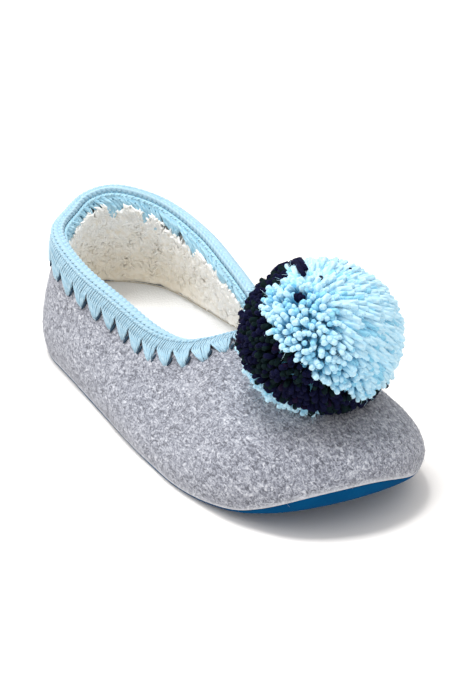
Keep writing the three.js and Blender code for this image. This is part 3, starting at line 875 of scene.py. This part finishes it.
def fan_strands(strands, top, length_share, offsets, uneven, thickness):
    """Tubes of all the fans. The strands start below the collar's edge at top, reach down by a share of
    the fans' spacing, and gather into a tip. offsets pairs shares of the way with heights off the felt.
    """
    steps = np.linspace(0, 1, 9)
    shape = np.array([0.9, 0.92, 0.93, 0.95, 0.98, 1.0, 0.95, 0.8, 0.5])
    fans = np.arange(fan_count)
    pitch = fan_pitch(fan_place(fans + 0.5))
    tip = band_depth + pitch * length_share * (1 + rng.normal(size=fan_count) * uneven * 2.5)
    aside = rng.normal(size=fan_count) * uneven * 2.2
    lines, facings = [], []
    for strand in range(strands):
        side = (strand + 0.5) / strands - 0.5
        loose = rng.normal(size=(3, fan_count)) * uneven
        rows, outs = [], []
        for t in steps:
            gather = gathered(t)
            slant = fan_lean * np.clip(1 - t / 0.5, 0, 1) ** 1.2
            number = fans + 0.5 + side * (1 - gather_share * gather) + slant + (loose[0] + aside) * t
            depth = top + (tip - top) * t * (1 - 0.13 * (2 * side) ** 2) + loose[1] * 0.012 * t
            proud = tip_proud * (0.5 - abs(side)) * gather
            offset = np.interp(t, *offsets) + proud + loose[2] * 0.002
            u = fan_place(number)
            point = from_collar(u, depth, offset)
            rows.append(point)
            outs.append(from_collar(u, depth, offset + 0.001) - point)
        lines.append(np.stack(rows, 1))
        facings.append(np.stack(outs, 1))
    spacing = np.linalg.norm(np.diff(np.stack(lines), axis=0), axis=3).mean(0)
    radii = spacing / 2 * thickness * shape / (1 - gather_share * gathered(steps))
    return tubes(np.concatenate(lines), np.tile(radii, (strands, 1)), 6, np.concatenate(facings))


def joined(parts):
    """One set of arrays from several tubes calls, with a material number for each tube."""
    points, kinds, first = [], {4: [], 3: []}, 0
    for (part_points, faces, maps, owners), number in parts:
        points.append(part_points)
        numbers = np.broadcast_to(number, (owners.max() + 1,))[owners]
        for some, some_maps, some_numbers in zip(faces, maps, np.split(numbers, [len(faces[0])])):
            kinds[some.shape[1]].append((some + first, some_maps, some_numbers))
        first += len(part_points)
    faces, maps, numbers = zip(*[
        [np.concatenate(column) for column in zip(*rows)] for rows in kinds.values() if rows
    ])
    return np.concatenate(points), faces, maps, np.concatenate(numbers)


outer_offsets = ((0, 0.15, 0.5, 0.88, 1.0), (0.0010, 0.0017, 0.0018, 0.0008, -0.0006))
inner_offsets = ((0, 0.2, 0.6, 1.0), tuple(-felt_wall - h for h in (0.0012, 0.0022, 0.0024, 0.0016)))
outer_fans = fan_strands(
    strands=8, top=-0.0004, length_share=0.87, offsets=outer_offsets, uneven=0.022, thickness=0.87,
)
inner_fans = fan_strands(
    strands=6, top=0.0006, length_share=0.42, offsets=inner_offsets, uneven=0.09, thickness=1.04,
)


def collar_cord(depth, offset, radius, steps=624, sides=6, sway=(0.0, 0.0), phase=0.0):
    """A strand that runs round the whole collar. A ply of a cord sways in depth and offset as it turns."""
    share = np.arange(steps) / steps
    angle = 2 * np.pi * (share * cord_turns + phase)
    u = collar_place(share)
    line = from_collar(u, depth + sway[0] * np.cos(angle), offset + sway[1] * np.sin(angle))
    out = from_collar(u, depth, offset + 0.001) - from_collar(u, depth, offset)
    return tubes(line[None], np.full((1, steps), radius), sides, out[None], ring=True)


outer_cord = [
    collar_cord(depth=-0.0006, offset=0.0013, radius=0.00062, sway=(0.00035, 0.0003), phase=phase)
    for phase in (0.0, 0.5)
]
inner_cord = [
    collar_cord(
        depth=0.0004, offset=-(felt_wall + 0.0014), radius=0.00066, sway=(0.00038, 0.0003), phase=phase,
    )
    for phase in (0.0, 0.5)
]
edging_core = collar_cord(depth=-0.0004, offset=-felt_wall / 2, radius=0.0021, steps=300, sides=10)

# The chain on top: each stitch is a pair of short arms that lean in from both sides and cross the next.
chain_count = 124
arm_spread = 0.0019
arm_seat = 0.0014
arm_rise = 0.0009
arm_dip = 0.0006
arm_stitches = 1.5
arm_lines, arm_facing = [], []
for side in (-1, 1):
    share = np.arange(chain_count) / chain_count
    rows, outs = [], []
    for t in np.linspace(0, 1, 6):
        u = collar_place(share + t * arm_stitches / chain_count)
        across = -felt_wall / 2 + side * arm_spread * (1 - t) ** 0.7
        height = arm_seat + arm_rise * math.sin(math.pi * (0.15 + 0.7 * t)) - arm_dip * (1 - t)
        point = from_collar(u, -height, across)
        rows.append(point)
        outs.append(from_collar(u, -height - 0.001, across) - point)
    arm_lines.append(np.stack(rows, 1))
    arm_facing.append(np.stack(outs, 1))
arm_radii = np.array([[0.0008, 0.00098, 0.00105, 0.001, 0.0009, 0.0006]])
chain = tubes(np.concatenate(arm_lines), arm_radii, 7, np.concatenate(arm_facing))
crochet = mesh_piece("crocheted_fans", *joined(
    [(outer_fans, 0), (chain, 0), (inner_fans, 1), (edging_core, 1)]
    + [(cord, 0) for cord in outer_cord] + [(cord, 1) for cord in inner_cord]
))
crochet.data.materials.append(
    yarn_material("light_blue_yarn", (0.19, 0.40, 0.55), (0.34, 0.525, 0.64), (0.43, 0.60, 0.69)),
)
crochet.data.materials.append(
    yarn_material("inner_blue_yarn", (0.14, 0.42, 0.60), (0.34, 0.61, 0.76), (0.52, 0.76, 0.87)),
)
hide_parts("crochet_edging")
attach(crochet, "root")


# Stitch holes. Beside each fan's tip the yarn goes through the felt, and a dark slit there is painted shadow
# of the hole and of the gap by the fan; inside the collar a row of small dark marks under the cord is painted
# shade in the needle holes.
slit_offset = 0.0007
dot_depth = 0.0019
dot_count = 84
slit_number = np.arange(fan_count) + 0.5
slit_pitch = fan_pitch(fan_place(slit_number))
slit_rows, slit_outs = [], []
for t, aside in ((0.0, 0.22), (0.35, 0.29), (0.7, 0.37), (1.0, 0.44)):
    u = fan_place(slit_number + aside)
    depth = band_depth + slit_pitch * (0.86 - 0.46 * t)
    point = from_collar(u, depth, slit_offset)
    slit_rows.append(point)
    slit_outs.append(from_collar(u, depth, slit_offset + 0.0006) - point)
slit_radii = np.array([[0.0003, 0.00065, 0.00062, 0.0003]])
slits = tubes(np.stack(slit_rows, 1), slit_radii, 6, np.stack(slit_outs, 1))
dot_place = collar_place(np.arange(dot_count) / dot_count)
dot_rows = [from_collar(dot_place, dot_depth, -(felt_wall + rise)) for rise in (0.0019, 0.0028)]
dot_facing = from_collar(dot_place, dot_depth + 0.001, -(felt_wall + 0.002)) - dot_rows[0]
dots = tubes(np.stack(dot_rows, 1), np.array([[0.00042, 0.0004]]), 6, dot_facing[:, None])
stitch_hole_shade = mesh_piece("stitch_hole_shade", *joined([(slits, 0), (dots, 1)]))
for hole_name, dark, light in (
    ("slit_shade", (0.025, 0.045, 0.07), (0.045, 0.075, 0.11)),
    ("needle_hole_shade", (0.09, 0.20, 0.30), (0.15, 0.30, 0.42)),
):
    hole_shade, tree, shader = new_material(hole_name, roughness=1.0, specular=0.0)
    speckled(tree, shader, scale=900.0, dark=dark, light=light)
    stitch_hole_shade.data.materials.append(hole_shade)
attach(stitch_hole_shade, "root")


# Pompom. Many ends of soft yarn tied at the middle, clipped round and sewn down on the vamp.
# It is light blue with one band wound in navy and dark green, and its underside splays on the felt.
pompom_radius = 0.0315
pompom_reach = 0.0525
pompom_sink = 0.0094
pompom_centre = last_point(
    np.array([0.5]), on_felt(np.array([0.5]), pompom_reach, True), pompom_radius - pompom_sink,
)[0]
band_axis = unit(np.array([0.563, 0.409, 0.718]))
band_start = np.array([0.208, 0.771, -0.602])

# The dark band. Columns: degrees round its axis, and the degrees from the axis where it starts and stops.
dark_band = np.array((
    (-180, 86, 132), (-160, 87, 137), (-143, 84, 130), (-124, 83, 128), (-103, 82, 123), (-79, 80, 117),
    (-51, 84, 113), (-27, 80, 110), (0, 84, 110), (60, 86, 112), (110, 84, 112), (130, 80, 115),
    (145, 70, 118), (162, 67, 124), (172, 78, 128), (180, 86, 132),
))

# Stray dark ends that have worked out of the band. Columns: the way each points from the middle, how many.
stray_ends = (
    (0.30, -0.46, 0.83, 5),
    (0.25, -0.15, 0.96, 1),
    (0.15, 0.40, 0.91, 1),
    (0.53, 0.84, -0.11, 1),
    (0.57, 0.80, -0.21, 1),
)
band_start = unit(band_start - band_axis * (band_start @ band_axis))
band_side = np.cross(band_axis, band_start)
end_count = 2100
end_steps = 5
end_clearance = 0.0013
shortest_end = 0.004
end_root = 0.62
navy_share = 0.62
navy_and_green_share = 0.95
shaded_blue_share = 0.3
slipped_radius = 0.0011
heart_share = 0.80
golden_turn = math.pi * (3 - math.sqrt(5))
index = np.arange(end_count)
height = 1 - 2 * (index + 0.5) / end_count
swing = index * golden_turn
ends = np.stack([
    np.sqrt(1 - height ** 2) * np.cos(swing), np.sqrt(1 - height ** 2) * np.sin(swing), height,
], 1)
ends = unit(ends + rng.normal(size=ends.shape) * 0.022)

strays = np.zeros(end_count, bool)
for x, y, z, several in stray_ends:
    stray_way = np.array([x, y, z])
    nearest = np.argsort(-(ends @ stray_way))[:several]
    strays[nearest] = True
    ends[nearest] += (stray_way - ends[nearest]) * 0.45
ends = unit(ends)

# The ends part at a crown near the top. On the far side of it they lie over, combed away from it.
crown = unit(np.array([0.30, -0.46, 0.83]))
combed_side = np.array([0.16, 0.84, 0.52])
combed = eased((ends @ combed_side + 0.10) / 0.75)[:, None] * 1.1
combed[strays] *= 0.3
towards_crown = crown - ends * (ends @ crown)[:, None]
rooted = unit(ends + towards_crown * combed + rng.normal(size=ends.shape) * 0.05)
# The ball is a little flattened by its own weight, from the top down.
flattened = 1 - 0.05 * (ends @ np.array([-0.35, 0.245, 0.904])) ** 2
tall = (1 + rng.normal(size=end_count) * 0.02) * flattened
bow = rng.normal(size=ends.shape) * 0.025
lines = []
for t in np.linspace(0, 1, end_steps):
    way = unit(rooted + (ends - rooted) * t ** 1.3 + bow * math.sin(math.pi * t))
    lines.append(pompom_centre + way * (pompom_radius * (end_root + (1 - end_root) * t) * tall)[:, None])
lines = np.stack(lines, 1)

# Where an end would run into the felt, it lies along it instead.
for line in range(end_count):
    for step in range(end_steps):
        point = Vector(lines[line, step])
        near, normal, face, gap = felt_tree.find_nearest(point)
        if (point - near).dot(normal) < end_clearance and gap < 0.03:
            lines[line, step] = near + normal * (end_clearance + 0.0008 * ((line * 7) % 5) / 5)
kept = np.linalg.norm(lines[:, -1] - lines[:, 0], axis=1) > shortest_end
wander = rng.normal(size=end_count) * 1.3
from_axis = np.degrees(np.arccos(np.clip(ends @ band_axis, -1, 1))) + wander
round_axis = np.degrees(np.arctan2(ends @ band_side, ends @ band_start))
pick = rng.random(end_count)
in_band = (
    (from_axis > np.interp(round_axis, dark_band[:, 0], dark_band[:, 1]))
    & (from_axis < np.interp(round_axis, dark_band[:, 0], dark_band[:, 2]))
)
# Yarns by number: 0 light blue, 1 navy, 2 green, 3 plum, 4 a darker copy of the light blue as painted shade.
shade = np.zeros(end_count, int)
green_or_plum = np.where(pick < navy_and_green_share, 2, 3)
shade[in_band] = np.where(pick < navy_share, 1, green_or_plum)[in_band]
# Some light blue ends take the darker copy and sit a little lower, as painted shade between the ends.
shaded_blue_ends = (shade == 0) & (rng.random(end_count) < shaded_blue_share)
shade[shaded_blue_ends] = 4
lines[shaded_blue_ends] -= (lines[shaded_blue_ends] - pompom_centre) * 0.03
shade[strays] = 1

# Three dark strands have slipped out of the band and lie over the top of the ball.
slipped = (
    ((-0.66, -0.33, 0.73), (-0.60, -0.20, 0.83), (-0.53, -0.11, 0.87)),
    ((-0.58, -0.10, 0.84), (-0.25, -0.16, 0.97), (0.10, -0.27, 0.956)),
    ((-0.62, -0.04, 0.80), (-0.30, -0.07, 0.96), (0.02, -0.19, 0.98)),
)
slipped_lines = []
for ways in slipped:
    ways = np.array(ways)
    spread = [np.interp(np.linspace(0, 2, end_steps), range(3), ways[:, i]) for i in range(3)]
    spread = unit(np.array(spread).T)
    far = pompom_radius * np.array([0.93, 0.985, 1.0, 0.99, 0.985])[:, None]
    slipped_lines.append(pompom_centre + spread * far)
slipped_lines = np.array(slipped_lines)
end_radii = np.array([[0.0009, 0.00118, 0.00133, 0.00134, 0.00104]])
thick = (0.82 + 0.32 * rng.random((end_count, 1))) * end_radii
facing = np.cross(ends, rng.normal(size=ends.shape))
yarn_ball = mesh_piece("yarn_pompom", *joined([
    (tubes(lines[kept], thick[kept], 7, facing[kept][:, None]), shade[kept]),
    (tubes(slipped_lines, slipped_radius, 7, slipped_lines - pompom_centre), 1),
]))

# Columns: name, painted groove shade, ridge and pale stretch of the yarn, and the painted shade colour deep
# in the pompom, if it shows.
pompom_yarns = (
    ("pompom_blue_yarn", (0.18, 0.55, 0.80), (0.38, 0.71, 0.90), (0.68, 0.88, 0.96), (0.14, 0.52, 0.76)),
    ("pompom_navy_yarn", (0.001, 0.001, 0.004), (0.002, 0.003, 0.020), (0.004, 0.005, 0.034), None),
    ("pompom_green_yarn", (0.001, 0.003, 0.004), (0.002, 0.009, 0.010), (0.003, 0.014, 0.015), None),
    ("pompom_plum_yarn", (0.002, 0.001, 0.005), (0.007, 0.003, 0.018), (0.011, 0.004, 0.026), None),
    ("pompom_shaded_blue_yarn", (0.10, 0.42, 0.66), (0.22, 0.58, 0.80), (0.38, 0.72, 0.88), (0.08, 0.40, 0.64)),
)
for name, groove_shade, ridge, pale, deep_shade in pompom_yarns:
    root = (deep_shade, 0.007, 0.0118) if deep_shade else None
    sheen = 0.25 if deep_shade else 0.0
    pompom_yarn = yarn_material(name, groove_shade, ridge, pale, turns=190.0, sheen=sheen, root=root)
    yarn_ball.data.materials.append(pompom_yarn)
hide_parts("pompom")
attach(yarn_ball, "root")

# Fine fibres stand off the clipped ends and blur them.
fuzz_count = 4500
fuzz_reach = 0.0021
fuzz_bend_at = 0.0014
fuzz_owner = rng.choice(np.flatnonzero(kept), fuzz_count)
fuzz_share = rng.random((fuzz_count, 1))
fuzz_root = lines[fuzz_owner, -2] * (1 - fuzz_share) + lines[fuzz_owner, -1] * fuzz_share
fuzz_way = unit(rng.normal(size=(fuzz_count, 3)) + ends[fuzz_owner] * 1.3)
fuzz_bend = rng.normal(size=(fuzz_count, 3)) * 0.35
fuzz_lines = np.stack([
    fuzz_root,
    fuzz_root + fuzz_way * fuzz_bend_at,
    fuzz_root + (fuzz_way + fuzz_bend) * (fuzz_reach + 0.0006 * fuzz_share),
], 1)
fuzz_radii = np.array([[0.00009, 0.00007, 0.00003]])
fuzz_shade = np.where(np.isin(shade[fuzz_owner], (0, 4)), 0, 1)
fuzz_tubes = tubes(fuzz_lines, fuzz_radii, 3, np.array([0.31, 0.52, 0.8]))
pompom_fuzz = mesh_piece("pompom_fuzz", *joined([(fuzz_tubes, fuzz_shade)]))
for fuzz_name, dark, light in (
    ("pale_blue_fibre", (0.45, 0.72, 0.88), (0.65, 0.88, 0.96)),
    ("navy_fibre", (0.003, 0.004, 0.02), (0.005, 0.007, 0.04)),
):
    fibre, tree, shader = new_material(fuzz_name, roughness=0.9, specular=0.1)
    speckled(tree, shader, scale=900.0, dark=dark, light=light)
    pompom_fuzz.data.materials.append(fibre)
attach(pompom_fuzz, "root")

# The tied heart of the pompom, packed too tight to see into, and coloured a darker blue as painted shade.
bpy.ops.object.select_all(action="DESELECT")
bpy.ops.mesh.primitive_ico_sphere_add(subdivisions=4, radius=pompom_radius * heart_share, location=(0, 0, 0))
heart = bpy.context.active_object
heart.name = "pompom_heart"
write_points(heart, read_points(heart) + pompom_centre)
knotted = bpy.data.textures.new("packed_yarn", "CLOUDS")
knotted.noise_scale = 0.004
apply_modifier(heart, "DISPLACE", texture=knotted, texture_coords="LOCAL", strength=0.003, mid_level=0.5)
smooth_faces(heart)
heart_shade, tree, shader = new_material("pompom_heart_shade", roughness=1.0, specular=0.0)
speckled(tree, shader, scale=420.0, dark=(0.10, 0.44, 0.66), light=(0.22, 0.60, 0.80))
heart.data.materials.append(heart_shade)
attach(heart, "root")


# Studio. A pale floor without an edge, a broad soft lamp overhead, another beyond the heel, and white
# fill all round.
bpy.ops.object.select_all(action="DESELECT")
bpy.ops.mesh.primitive_plane_add(size=12.0, location=(0, 0, 0))
floor = bpy.context.active_object
floor.name = "studio_floor"
floor_paint, tree, shader = new_material("white_floor", roughness=0.95, specular=0.0)
shader.inputs["Base Color"].default_value = (0.90, 0.875, 0.85, 1.0)
floor.data.materials.append(floor_paint)


def soft_lamp(name, place, aim, size, power):
    data = bpy.data.lights.new(name, "AREA")
    data.shape = "SQUARE"
    data.size = size
    data.energy = power
    lamp = bpy.data.objects.new(name, data)
    lamp.location = place
    lamp.rotation_euler = (Vector(aim) - Vector(place)).to_track_quat("-Z", "Y").to_euler()
    bpy.context.collection.objects.link(lamp)


soft_lamp("overhead", place=(-0.08, -0.20, 1.5), aim=(0, 0, 0.03), size=0.45, power=17.0)
soft_lamp("beyond_the_heel", place=(-0.9, -1.1, 0.9), aim=(0, 0, 0.03), size=1.1, power=8.0)

world = bpy.data.worlds.new("studio")
world.use_nodes = True
white_fill = world.node_tree.nodes["Background"]
white_fill.inputs["Color"].default_value = (1.0, 1.0, 1.0, 1.0)
white_fill.inputs["Strength"].default_value = 0.9
bpy.context.scene.world = world
bpy.context.scene.view_settings.view_transform = "Standard"

bpy.context.view_layer.update()
